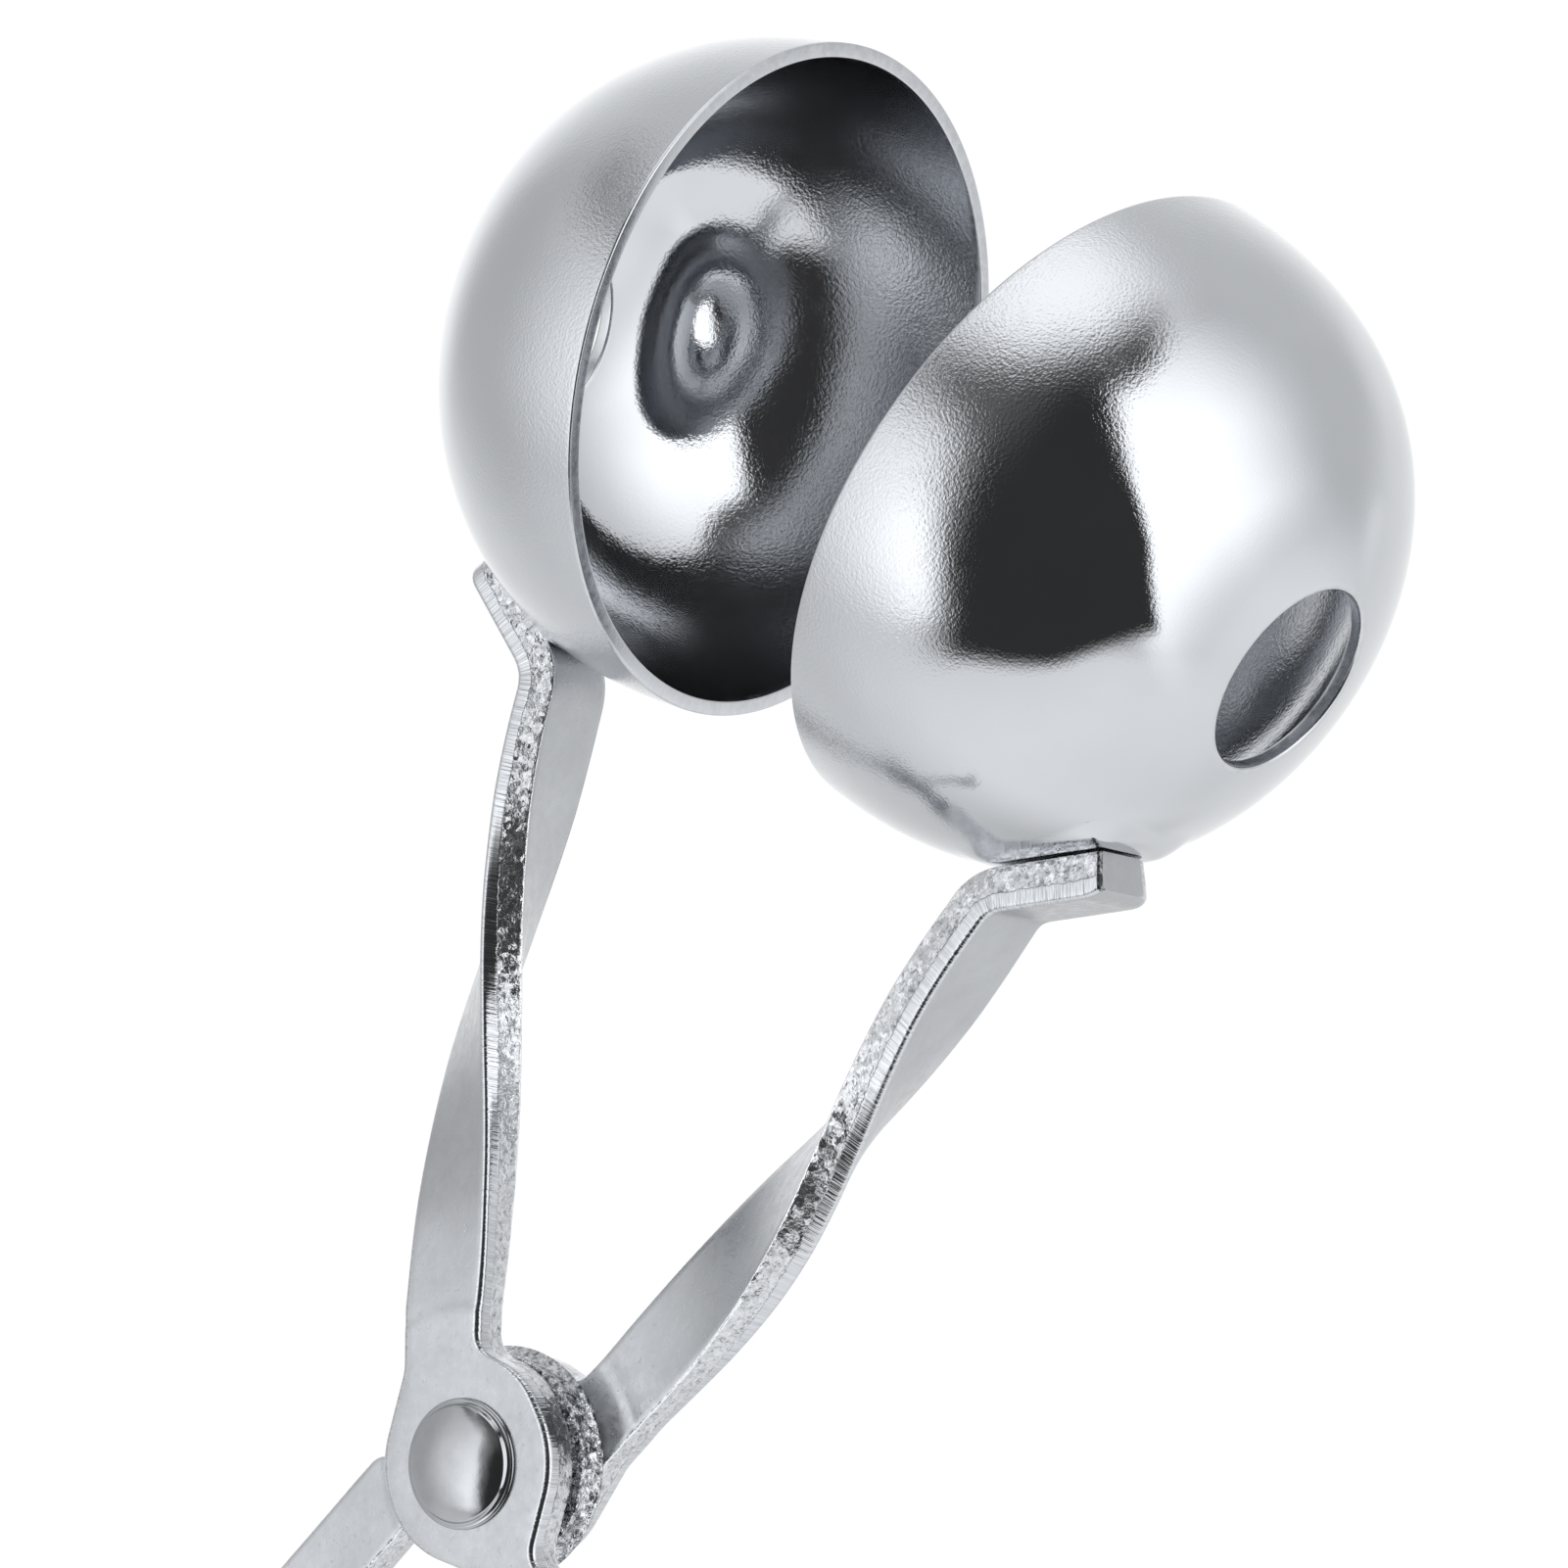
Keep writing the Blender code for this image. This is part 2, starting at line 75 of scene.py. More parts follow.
# Levers
SHEET = 2.45
COINING = 0.06
EYE_RADIUS = 6.6
EYE_INNER_RADIUS = 7.05
COINED_RADIUS = 9.9
COINING_FADE = 0.5
FACE_RISE_LENGTH = 8.0  # over which the arm's faces rise to their full height beyond the coined eye
ARM_ROOT = (9.0, 4.75)
ARM_WIDTH = 7.2
ARM_END_WIDTH = 7.3
TAB_WIDTH = 6.6
TAB_ANGLE = 39.0
TAB_HEEL = 5.2
WELD_GAP = 0.12  # between the tab and the cup's flattened skin
WELD_HALF_LENGTH = 3.2
WELD_HALF_WIDTH = 3.1
WELD_FADE = 3.2
ARM_SWELL = 0.2  # how much prouder the arm's and the handle's faces are than the frame's
EYE_SWELL = 0.3  # the same for the eye's inner face
EYE_ROLL = 0.4  # how much wider the rolled-over edge is on the eye
END_ROLL = 0.4
END_ROLL_LENGTH = 1.7
END_CORNER = 1.5
END_EDGE_CORNER = 0.3
TWIST = 90.0
HANDLE_ROOT = (-9.0, -7.4)
HANDLE_ROOT_WIDTH = 5.4
HANDLE_MID = (-52.0, -16.8)
HANDLE_END = (-110.0, -13.0)
HANDLE_BEND_RADIUS = 130.0
HANDLE_TWIST_START = 8.0
HANDLE_TWIST_LENGTH = 34.0
GRIP_WIDTH = 8.0
SPACER_THICKNESS = 2.1
SPACER_RADIUS = 7.25
SPACER_FLARE = 0.55
SPACER_CLEARANCE = 0.2  # more than the frame's gap above the washer
SPACER_CHAMFER = 0.14
SPACER_STEPS = 200
BORE_CLEARANCE = 0.08
SEAT_GAP = 0.3
EYE_THICKNESS = SHEET + 2 * COINING
LAYER = SPACER_THICKNESS / 2 + SEAT_GAP + EYE_THICKNESS / 2
STACK_FACE = LAYER + EYE_THICKNESS / 2

# Rivet
HEAD_RADIUS = 4.3
HEAD_HEIGHT = 1.4
DOME_RADIUS = 3.7
DOME_RISE = 0.75
DOME_FLATNESS = 2.2  # 2 is nearly a sphere's cap
DOME_RINGS = 40
SHANK_RADIUS = 2.5
RIVET_STEPS = 160
SLIVER = 0.02  # how far the head and the washer stay off the face below them


def tool_matrix():
    """Places the tool's own frame, in millimetres, in the world."""
    z = RIVET_AXIS.normalized()
    y = Vector((0.0, 1.0, 0.0))
    x = y.cross(z).normalized()
    turn = Matrix((x, y, z)).transposed().to_4x4()
    return Matrix.Translation(PIVOT_AT) @ turn @ Matrix.Scale(MM, 4)


TOOL = tool_matrix()


def half_matrix(side):
    """side is +1 for the left half and -1 for the right one."""
    return TOOL @ Matrix.Rotation(side * HALF_OPENING, 4, "Z")


# Shader helpers

GRAIN_WOBBLE = 0.35  # how far, in millimetres, noise bends the outlines of the broken grains


def new_material(name):
    material = bpy.data.materials.new(name)
    material.use_nodes = True
    tree = material.node_tree
    shader = tree.nodes["Principled BSDF"]
    shader.inputs["Metallic"].default_value = 1.0
    return material, tree, shader


def add_node(tree, kind, **settings):
    node = tree.nodes.new(kind)
    for key, value in settings.items():
        setattr(node, key, value)
    return node


def link(tree, source, target):
    tree.links.new(source, target)


def noise(tree, coords, scale, detail=3.0, roughness=0.55, stretch=None, distortion=0.0):
    """A noise texture's value; stretch scales its axes, scale is in cycles per millimetre."""
    vector = coords
    if stretch:
        mapping = add_node(tree, "ShaderNodeMapping")
        mapping.inputs["Scale"].default_value = stretch
        link(tree, coords, mapping.inputs["Vector"])
        vector = mapping.outputs["Vector"]
    texture = add_node(tree, "ShaderNodeTexNoise")
    texture.inputs["Scale"].default_value = scale
    texture.inputs["Detail"].default_value = detail
    texture.inputs["Roughness"].default_value = roughness
    texture.inputs["Distortion"].default_value = distortion
    link(tree, vector, texture.inputs["Vector"])
    return texture.outputs["Fac"]


def remap(tree, value, low, high, to_low, to_high, smooth=False):
    node = add_node(tree, "ShaderNodeMapRange", clamp=True)
    if smooth:
        node.interpolation_type = "SMOOTHSTEP"
    node.inputs["From Min"].default_value = low
    node.inputs["From Max"].default_value = high
    node.inputs["To Min"].default_value = to_low
    node.inputs["To Max"].default_value = to_high
    link(tree, value, node.inputs["Value"])
    return node.outputs["Result"]


def set_inputs(tree, sockets, values):
    """Each value is a constant or another node's output."""
    for socket, value in zip(sockets, values):
        if isinstance(value, (int, float, tuple)):
            socket.default_value = value
        else:
            link(tree, value, socket)


def math_node(tree, operation, a, b):
    node = add_node(tree, "ShaderNodeMath", operation=operation)
    set_inputs(tree, node.inputs, (a, b))
    return node.outputs["Value"]


def mixed(tree, factor, a, b, kind="FLOAT"):
    """Goes from a to b as the factor goes from 0 to 1."""
    node = add_node(tree, "ShaderNodeMix", data_type=kind)
    set_inputs(tree, [node.inputs[name] for name in ("Factor", "A", "B")], (factor, a, b))
    return node.outputs["Result"]


def split_xyz(tree, vector):
    node = add_node(tree, "ShaderNodeSeparateXYZ")
    link(tree, vector, node.inputs["Vector"])
    return node.outputs


def ramp(tree, value, stops):
    """A colour ramp through (place, colour) stops."""
    node = add_node(tree, "ShaderNodeValToRGB")
    elements = node.color_ramp.elements
    while len(elements) < len(stops):
        elements.new(0.5)
    for element, (place, color) in zip(elements, stops):
        element.position = place
        element.color = (*color, 1.0)
    link(tree, value, node.inputs["Fac"])
    return node.outputs["Color"]


def clouded(tree, shader, cloud, dark, light):
    """Lets the base colour drift between two close tones."""
    link(tree, ramp(tree, cloud, [(0.3, dark), (0.7, light)]), shader.inputs["Base Color"])


def vector_math(tree, operation, a, b):
    node = add_node(tree, "ShaderNodeVectorMath", operation=operation)
    set_inputs(tree, node.inputs, (a, b))
    return node.outputs


def facets(tree, coords, scale):
    """Height in millimetres over broken grains: each grain is a small plane with its own tilt."""
    shift = add_node(tree, "ShaderNodeTexNoise")
    shift.inputs["Scale"].default_value = scale * 1.7
    shift.inputs["Detail"].default_value = 2.0
    link(tree, coords, shift.inputs["Vector"])
    wobble = add_node(tree, "ShaderNodeVectorMath", operation="SCALE")
    wobble.inputs["Scale"].default_value = GRAIN_WOBBLE
    link(tree, shift.outputs["Color"], wobble.inputs[0])
    moved = vector_math(tree, "ADD", coords, wobble.outputs["Vector"])["Vector"]
    cells = add_node(tree, "ShaderNodeTexVoronoi")
    cells.inputs["Scale"].default_value = scale
    link(tree, moved, cells.inputs["Vector"])
    tilt = vector_math(tree, "SUBTRACT", cells.outputs["Color"], (0.5, 0.5, 0.5))["Vector"]
    spot = vector_math(tree, "SUBTRACT", moved, cells.outputs["Position"])["Vector"]
    return vector_math(tree, "DOT_PRODUCT", tilt, spot)["Value"]


def bump(tree, height, distance, below=None):
    """Tilts the surface by a height; distance is in metres."""
    node = add_node(tree, "ShaderNodeBump")
    node.inputs["Distance"].default_value = distance
    link(tree, height, node.inputs["Height"])
    if below:
        link(tree, below, node.inputs["Normal"])
    return node.outputs["Normal"]


def object_coords(tree):
    """Object coordinates in millimetres."""
    source = add_node(tree, "ShaderNodeTexCoord")
    scale = add_node(tree, "ShaderNodeVectorMath", operation="SCALE")
    scale.inputs["Scale"].default_value = 1000.0
    link(tree, source.outputs["Object"], scale.inputs[0])
    return scale.outputs["Vector"]


def uv_coords(tree, name):
    """Coordinates laid along a piece: strip (along, across or through) or turned (turns, along)."""
    source = add_node(tree, "ShaderNodeUVMap", uv_map=name)
    return source.outputs["UV"]


# Materials

def cup_outside_steel():
    """Drawn steel, polished over a fine orange peel."""
    material, tree, shader = new_material("cup_outside")
    coords = object_coords(tree)
    cloud = noise(tree, coords, 0.12, 2.0)
    clouded(tree, shader, cloud, (0.547, 0.562, 0.586), (0.577, 0.592, 0.616))
    from_hole = split_xyz(tree, uv_coords(tree, "turned"))["Y"]
    cloudy = math_node(tree, "ADD", from_hole,
                       math_node(tree, "MULTIPLY", noise(tree, coords, 0.15, 3.0), 16.0))
    drawn = remap(tree, cloudy, 20.0, 38.0, 0.12, 1.0, smooth=True)
    haze = remap(tree, noise(tree, coords, 6.0, 3.0, 0.6), 0.35, 0.65, 0.024, 0.04)
    link(tree, math_node(tree, "MULTIPLY", haze, math_node(tree, "ADD", drawn, 0.8)),
         shader.inputs["Roughness"])
    wave = bump(tree, noise(tree, coords, 0.3, 1.0), 0.00001)
    peel = math_node(tree, "MULTIPLY", noise(tree, coords, 5.2, 2.0, 0.6), drawn)
    link(tree, bump(tree, peel, 0.000034, below=wave), shader.inputs["Normal"])
    return material


def cup_inside_steel():
    """Mirror polish at the bottom that turns to a softer drawn finish towards the rim."""
    material, tree, shader = new_material("cup_inside")
    coords = object_coords(tree)
    cloud = noise(tree, coords, 0.1, 2.0)
    clouded(tree, shader, cloud, (0.555, 0.57, 0.595), (0.595, 0.61, 0.635))
    from_hole = split_xyz(tree, uv_coords(tree, "turned"))["Y"]
    haze = noise(tree, coords, 0.5, 4.0)
    patchy = math_node(tree, "ADD", from_hole, math_node(tree, "MULTIPLY", haze, 8.0))
    soft_until, bright_from = INNER_RIM + 4.0, INNER_RIM + 16.0
    link(tree, remap(tree, patchy, soft_until, bright_from, 0.14, 0.04), shader.inputs["Roughness"])
    rim_zone = remap(tree, patchy, soft_until, bright_from, 1.0, 0.1)
    wave = bump(tree, noise(tree, coords, 0.2, 1.0), 0.00002)
    grain = math_node(tree, "MULTIPLY", noise(tree, coords, 4.2, 2.0, 0.6), rim_zone)
    link(tree, bump(tree, grain, 0.000025, below=wave), shader.inputs["Normal"])
    return material


def rim_steel():
    """The cut and turned rim and the edge of the drain hole."""
    material, tree, shader = new_material("cup_rim")
    coords = object_coords(tree)
    cloud = noise(tree, coords, 1.5, 3.0)
    clouded(tree, shader, cloud, (0.53, 0.545, 0.57), (0.61, 0.625, 0.65))
    link(tree, remap(tree, cloud, 0.3, 0.7, 0.16, 0.28), shader.inputs["Roughness"])
    link(tree, bump(tree, noise(tree, coords, 5.0, 3.0), 0.000004), shader.inputs["Normal"])
    return material


def strip_face_steel():
    """Rolled strip after tumbling: satin, with faint clouds, small nicks and lengthwise rolling lines."""
    material, tree, shader = new_material("strip_face")
    coords = object_coords(tree)
    along = uv_coords(tree, "strip")
    cloud = noise(tree, coords, 0.25, 4.0)
    clouded(tree, shader, cloud, (0.44, 0.452, 0.472), (0.5, 0.514, 0.535))
    haze = noise(tree, coords, 1.3, 5.0)
    link(tree, remap(tree, haze, 0.3, 0.7, 0.22, 0.36), shader.inputs["Roughness"])
    lines = noise(tree, along, 1.0, 3.0, stretch=(0.25, 5.0, 1.0))
    rolled = bump(tree, lines, 0.000003)
    dimples = bump(tree, noise(tree, coords, 1.8, 3.0, 0.6), 0.000014, below=rolled)
    pit_field = noise(tree, coords, 2.4, 2.0)
    pits = bump(tree, remap(tree, pit_field, 0.66, 0.74, 1.0, 0.0, smooth=True), 0.00001, below=dimples)
    link(tree, pits, shader.inputs["Normal"])
    return material


def strip_edge_steel():
    """Sheared edge: a burnished band with cross lines, then a torn band of bright and dark grains, and a
    burr near the inner face with a painted highlight along it.
    """
    material, tree, shader = new_material("strip_edge")
    coords = object_coords(tree)
    along = uv_coords(tree, "strip")
    depth = split_xyz(tree, along)["Y"]
    jag = remap(tree, noise(tree, coords, 0.9, 4.0, 0.7), 0.25, 0.75, -0.05, 0.05)
    border = math_node(tree, "ADD", depth, jag)
    torn = remap(tree, border, BURNISHED_SHARE - 0.01, BURNISHED_SHARE + 0.01, 0.0, 1.0)
    streaks = noise(tree, along, 1.0, 3.0, 0.65, stretch=(3.0, 0.3, 1.0))
    crumbs = noise(tree, coords, 2.7, 3.0, 0.65, distortion=0.6)
    streak_color = ramp(tree, streaks, [(0.3, (0.45, 0.465, 0.485)), (0.6, (0.62, 0.635, 0.66))])
    crumb_color = ramp(tree, crumbs, [(0.35, (0.3, 0.31, 0.325)), (0.43, (0.54, 0.553, 0.575)),
                                      (0.6, (0.66, 0.674, 0.698))])
    banded = mixed(tree, torn, streak_color, crumb_color, "RGBA")
    # The burr near the inner face is real; its near-white colour is a painted highlight
    burr_painted_highlight = remap(tree, border, 0.93, 0.96, 0.0, 1.0)
    link(tree, mixed(tree, burr_painted_highlight, banded, (0.86, 0.88, 0.905, 1.0), "RGBA"), shader.inputs["Base Color"])
    streak_haze = remap(tree, streaks, 0.3, 0.7, 0.1, 0.2)
    crumb_haze = remap(tree, crumbs, 0.35, 0.65, 0.3, 0.18)
    link(tree, mixed(tree, torn, streak_haze, crumb_haze), shader.inputs["Roughness"])
    smooth_part = math_node(tree, "SUBTRACT", 1.0, torn)
    lines = bump(tree, math_node(tree, "MULTIPLY", streaks, smooth_part), 0.00009)
    relief = math_node(tree, "MULTIPLY", torn, facets(tree, coords, 2.2))
    link(tree, bump(tree, relief, 0.0003, below=lines), shader.inputs["Normal"])
    return material


def cut_corner_painted_shadow():
    """Painted shadow of a notch along the corner where the tab was cut to length: dark, with greyer patches.
    """
    material, tree, shader = new_material("strip_painted_shadow")
    coords = object_coords(tree)
    shadow_patches = noise(tree, coords, 3.0, 4.0, 0.7)
    # Painted shadow along the cut corner: nearly black, broken by greyer patches
    link(tree, ramp(tree, shadow_patches, [(0.45, (0.05, 0.052, 0.056)), (0.62, (0.42, 0.432, 0.452))]),
         shader.inputs["Base Color"])
    link(tree, remap(tree, shadow_patches, 0.3, 0.7, 0.35, 0.2), shader.inputs["Roughness"])
    link(tree, bump(tree, shadow_patches, 0.0001), shader.inputs["Normal"])
    return material


def rivet_head_steel():
    """Polished dome with faint dents."""
    material, tree, shader = new_material("rivet_dome")
    coords = object_coords(tree)
    cloud = noise(tree, coords, 0.8, 4.0)
    clouded(tree, shader, cloud, (0.41, 0.42, 0.438), (0.445, 0.456, 0.474))
    link(tree, remap(tree, cloud, 0.3, 0.7, 0.07, 0.13), shader.inputs["Roughness"])
    dents = bump(tree, noise(tree, coords, 0.7, 2.0), 0.000012)
    link(tree, bump(tree, noise(tree, coords, 5.0, 3.0), 0.000002, below=dents), shader.inputs["Normal"])
    return material


def spacer_rim_steel():
    """Broken, sparkling edge of a thick stamped washer."""
    material, tree, shader = new_material("spacer_rim")
    coords = object_coords(tree)
    crumbs = noise(tree, coords, 2.4, 4.0, 0.7)
    link(tree, ramp(tree, crumbs, [(0.38, (0.18, 0.185, 0.195)), (0.47, (0.45, 0.463, 0.485)),
                                   (0.6, (0.72, 0.735, 0.76))]),
         shader.inputs["Base Color"])
    link(tree, remap(tree, crumbs, 0.35, 0.65, 0.26, 0.12), shader.inputs["Roughness"])
    link(tree, bump(tree, facets(tree, coords, 2.6), 0.0009), shader.inputs["Normal"])
    return material


# Turned pieces

def revolved(name, profile, steps, placement, slots):
    """A smooth solid turned about local Z from a closed loop of (radius, height, slot number)."""
    bm = bmesh.new()
    uv_layer = bm.loops.layers.uv.new("turned")
    rings = []
    marks = [0.0]
    for here, there in zip(profile, profile[1:] + profile[:1]):
        marks.append(marks[-1] + math.hypot(there[0] - here[0], there[1] - here[1]))
    for radius, height, _ in profile:
        ring = []
        for i in range(steps):
            angle = math.tau * i / steps
            ring.append(bm.verts.new((radius * math.cos(angle), radius * math.sin(angle), height)))
        rings.append(ring)
    count = len(profile)
    for k in range(count):
        here, there = rings[k], rings[(k + 1) % count]
        for i in range(steps):
            j = (i + 1) % steps
            face = bm.faces.new((here[i], there[i], there[j], here[j]))
            face.material_index = profile[k][2]
            face.smooth = True
            spots = ((i, k), (i, k + 1), (i + 1, k + 1), (i + 1, k))
            for corner, (turn, step) in zip(face.loops, spots):
                corner[uv_layer].uv = (turn / steps, marks[step])
    bmesh.ops.remove_doubles(bm, verts=bm.verts, dist=0.0001)
    bmesh.ops.recalc_face_normals(bm, faces=bm.faces)
    return as_object(name, bm, placement, slots)


def as_object(name, bm, placement, slots):
    """Puts a mesh into the world and the scene, with its materials in order."""
    bm.transform(placement)
    mesh = bpy.data.meshes.new(name)
    bm.to_mesh(mesh)
    bm.free()
    for material in slots:
        mesh.materials.append(material)
    obj = bpy.data.objects.new(name, mesh)
    bpy.context.scene.collection.objects.link(obj)
    return obj


def superellipse_radius(height, radius, depth):
    """A cup's radius at a height over its rim: a little fuller than a ball's."""
    share = min(max(height / depth, 0.0), 1.0)
    return radius * (1.0 - share ** CUP_FULLNESS) ** (1.0 / CUP_FULLNESS)


def cup_skin(radius, depth, count):
    """Points on one skin from the drain hole down to the rim."""
    hole = math.acos((DRAIN_HOLE_RADIUS / radius) ** (CUP_FULLNESS / 2.0))
    points = []
    for i in range(count + 1):
        angle = hole * (1.0 - i / count)
        height = depth * math.sin(angle) ** (2.0 / CUP_FULLNESS)
        points.append((superellipse_radius(height, radius, depth), height))
    return points


def rounded_corner(before, corner, after, radius, count=5):
    """Points of a rounding that replaces a corner of a profile."""
    a, b, c = (np.array(p, float) for p in (before, corner, after))
    start = b + (a - b) / np.linalg.norm(a - b) * radius
    end = b + (c - b) / np.linalg.norm(c - b) * radius
    points = []
    for i in range(count + 1):
        t = i / count
        points.append(tuple((1 - t) ** 2 * start + 2 * t * (1 - t) * b + t ** 2 * end))
    return points


OUTSIDE, INSIDE, RIM = 0, 1, 2


def cup_profile():
    """One closed loop round the wall: outside, rim, inside and the drain hole's edge."""
    outer = cup_skin(CUP_RADIUS, CUP_DEPTH, OUTER_RINGS)
    inner = cup_skin(CUP_RADIUS - CUP_WALL, CUP_DEPTH - CUP_WALL, INNER_RINGS)[::-1]
    outer_low, inner_low = outer[-1], inner[0]
    outer_top, inner_top = outer[0], inner[-1]
    up_outside, up_inside = (outer_low[0], 1.0), (inner_low[0], 1.0)
    rim_outer = rounded_corner(up_outside, outer_low, inner_low, RIM_OUTER_ROUNDING)
    rim_inner = rounded_corner(outer_low, inner_low, up_inside, RIM_INNER_ROUNDING)
    hole_outer = rounded_corner(inner_top, outer_top, outer[3], HOLE_OUTER_ROUNDING)
    hole_inner = rounded_corner(inner[-4], inner_top, outer_top, HOLE_INNER_ROUNDING)
    outer_from, outer_over = outer_top[0] + HOLE_OUTER_ROUNDING, RIM_OUTER_ROUNDING + 0.01
    inner_from, inner_over = inner_top[0] + HOLE_INNER_ROUNDING, RIM_INNER_ROUNDING + 0.01
    loop = [(r, z, OUTSIDE) for r, z in outer if r > outer_from and z > outer_over]
    loop += [(r, z, RIM) for r, z in rim_outer + rim_inner]
    loop += [(r, z, INSIDE) for r, z in inner if r > inner_from and z > inner_over]
    loop += [(r, z, RIM) for r, z in hole_inner + hole_outer]
    return loop


def press_weld_flat(cup, side, form):
    """Brings the cup's outer skin down onto the plane of the tab that is welded to it."""
    rows = strip_rows(form)
    middle_at = rows[-1][4] - form.reach
    centre, across, through, _, _ = min(rows, key=lambda row: abs(row[4] - middle_at))
    place = lever_matrix(side)
    origin = place @ (centre - through * (SHEET / 2 + ARM_SWELL))
    outward = (place.to_3x3() @ through).normalized()
    sideways = (place.to_3x3() @ across).normalized()
    along = outward.cross(sideways)
    outer_skin = [vertex for vertex in cup.data.vertices if vertex.normal.dot(outward) > 0.0]
    for vertex in outer_skin:
        offset = (vertex.co - origin) / MM
        beyond = (max(abs(offset.dot(along)) - WELD_HALF_LENGTH, 0.0),
                  max(abs(offset.dot(sideways)) - WELD_HALF_WIDTH, 0.0))
        hold = 1.0 - float(ease(math.hypot(*beyond) / WELD_FADE))
        vertex.co -= outward * (hold * (WELD_GAP + offset.dot(outward)) * MM)
    cup.data.update()


def make_cup(name, side, body, form, slots):
    height = -CUP_DROP - side * CUP_STAGGER
    place = Matrix.Translation((PIVOT_TO_CUP, side * RIM_GAP / 2, height))
    turn = Matrix.Rotation(-side * math.pi / 2, 4, "X")
    cup = revolved(name, cup_profile(), CUP_STEPS, half_matrix(side) @ place @ turn, slots)
    press_weld_flat(cup, side, form)
    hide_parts(name.replace("_shell", ""))
    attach(cup, body)
    return cup


def dome_profile(top):
    """The head from its middle out to the ridge round the dome."""
    profile = []
    for i in range(DOME_RINGS):
        share = i / (DOME_RINGS - 1)
        profile.append((DOME_RADIUS * share, top - DOME_RISE * share ** DOME_FLATNESS))
    return profile


def make_rivet(slots):
    """Low dome inside a narrow wall and a thin flange, and a plainer formed tail behind."""
    seat = STACK_FACE + SEAT_GAP
    under_head = STACK_FACE + SLIVER
    top = seat + HEAD_HEIGHT - SEAT_GAP
    ridge = top - DOME_RISE
    shoulder = [
        (DOME_RADIUS + 0.07, ridge - 0.04), (DOME_RADIUS + 0.12, ridge - 0.1),
        (DOME_RADIUS + 0.18, ridge - 0.26), (DOME_RADIUS + 0.25, ridge - 0.33),
        (HEAD_RADIUS - 0.17, ridge - 0.37), (HEAD_RADIUS - 0.08, ridge - 0.4),
        (HEAD_RADIUS - 0.02, ridge - 0.45), (HEAD_RADIUS, ridge - 0.52),
        (HEAD_RADIUS - 0.03, under_head),
    ]
    shank = [(SHANK_RADIUS, under_head), (SHANK_RADIUS, -seat)]
    tail = [
        (3.84, -seat), (3.9, -seat - 0.06), (3.88, -seat - 0.3),
        (3.7, -seat - 0.62), (3.3, -seat - 0.92), (2.7, -seat - 1.12),
        (1.9, -seat - 1.24), (0.9, -seat - 1.29), (0.0, -seat - 1.3),
    ]
    loop = [(x, z, 0) for x, z in dome_profile(top) + shoulder + shank + tail]
    rivet = revolved("rivet", loop, RIVET_STEPS, TOOL, slots)
    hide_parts("pivot_rivet")
    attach(rivet, "right_half")
    return rivet


def make_spacer(slots):
    """Washer whose broken edge flares out towards the rear eye."""
    top = SPACER_THICKNESS / 2 - EYE_SWELL - SPACER_CLEARANCE
    foot = SLIVER - SPACER_THICKNESS / 2
    bore = SHANK_RADIUS + BORE_CLEARANCE
    edge_top = top - SPACER_CHAMFER
    profile = [(bore, top), (SPACER_RADIUS - 0.2, top), (SPACER_RADIUS - 0.06, top - 0.05)]
    for i in range(11):
        share = i / 10
        profile.append((SPACER_RADIUS + SPACER_FLARE * share ** 2.5, edge_top - (edge_top - foot) * share))
    loop = [(x, z, 0) for x, z in profile + [(bore, foot)]]
    spacer = revolved("washer", loop, SPACER_STEPS, TOOL, slots)
    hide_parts("spacer_washer")
    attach(spacer, "right_half")
    return spacer


# Levers

def heading_between(start, end):
    """Angle of the way from start to end, in plan."""
    return math.atan2(end[1] - start[1], end[0] - start[0])


def offset_point(point, heading, distance):
    """Steps to the left of a heading."""
    return (point[0] - math.sin(heading) * distance, point[1] + math.cos(heading) * distance)


def rounded_path(corners, step=0.25):
    """Straight runs through (x, y, radius) corners, with an arc at each inner one."""
    path = [Vector(corners[0][:2])]
    for (ax, ay, _), (bx, by, radius), (cx, cy, _) in zip(corners, corners[1:], corners[2:]):
        here = Vector((bx, by))
        back = Vector((ax, ay)) - here
        ahead = Vector((cx, cy)) - here
        half = back.angle(ahead) / 2
        reach = min(radius / math.tan(half), 0.49 * min(back.length, ahead.length))
        radius = reach * math.tan(half)
        centre = here + (back.normalized() + ahead.normalized()).normalized() * (
            radius / math.sin(half))
        start = here + back.normalized() * reach - centre
        end = here + ahead.normalized() * reach - centre
        turn = start.angle_signed(end)
        pieces = max(8, int(abs(turn) * radius / step))
        for i in range(pieces + 1):
            spoke = start.copy()
            spoke.rotate(Matrix.Rotation(-turn * i / pieces, 2))
            path.append(centre + spoke)
    path.append(Vector(corners[-1][:2]))
    return np.array([tuple(point) for point in path])


def evenly(path, count):
    """count + 1 points at equal steps, and their distances along the path."""
    lengths = np.concatenate([[0.0], np.cumsum(np.hypot(*np.diff(path, axis=0).T))])
    stations = np.linspace(0.0, lengths[-1], count + 1)
    return np.column_stack([np.interp(stations, lengths, path[:, i]) for i in (0, 1)]), stations


def ease(value):
    """0 to 1 with a soft start and a soft end."""
    value = np.clip(value, 0.0, 1.0)
    return value * value * (3.0 - 2.0 * value)


def soft_ramp(value, softness=0.15):
    """Nearly straight from 0 to 1, with its two ends a little softened."""
    value = np.clip(value, 0.0, 1.0)
    return (1.0 - softness) * value + softness * ease(value)


def quarter_turn(radius, start):
    """Two corners whose arcs make a quarter of a circle about the rivet; start is in degrees."""
    reach = radius / math.cos(math.radians(22.5))
    spots = [math.radians(start + angle) for angle in (22.5, 67.5)]
    return [(reach * math.cos(spot), reach * math.sin(spot), radius) for spot in spots]


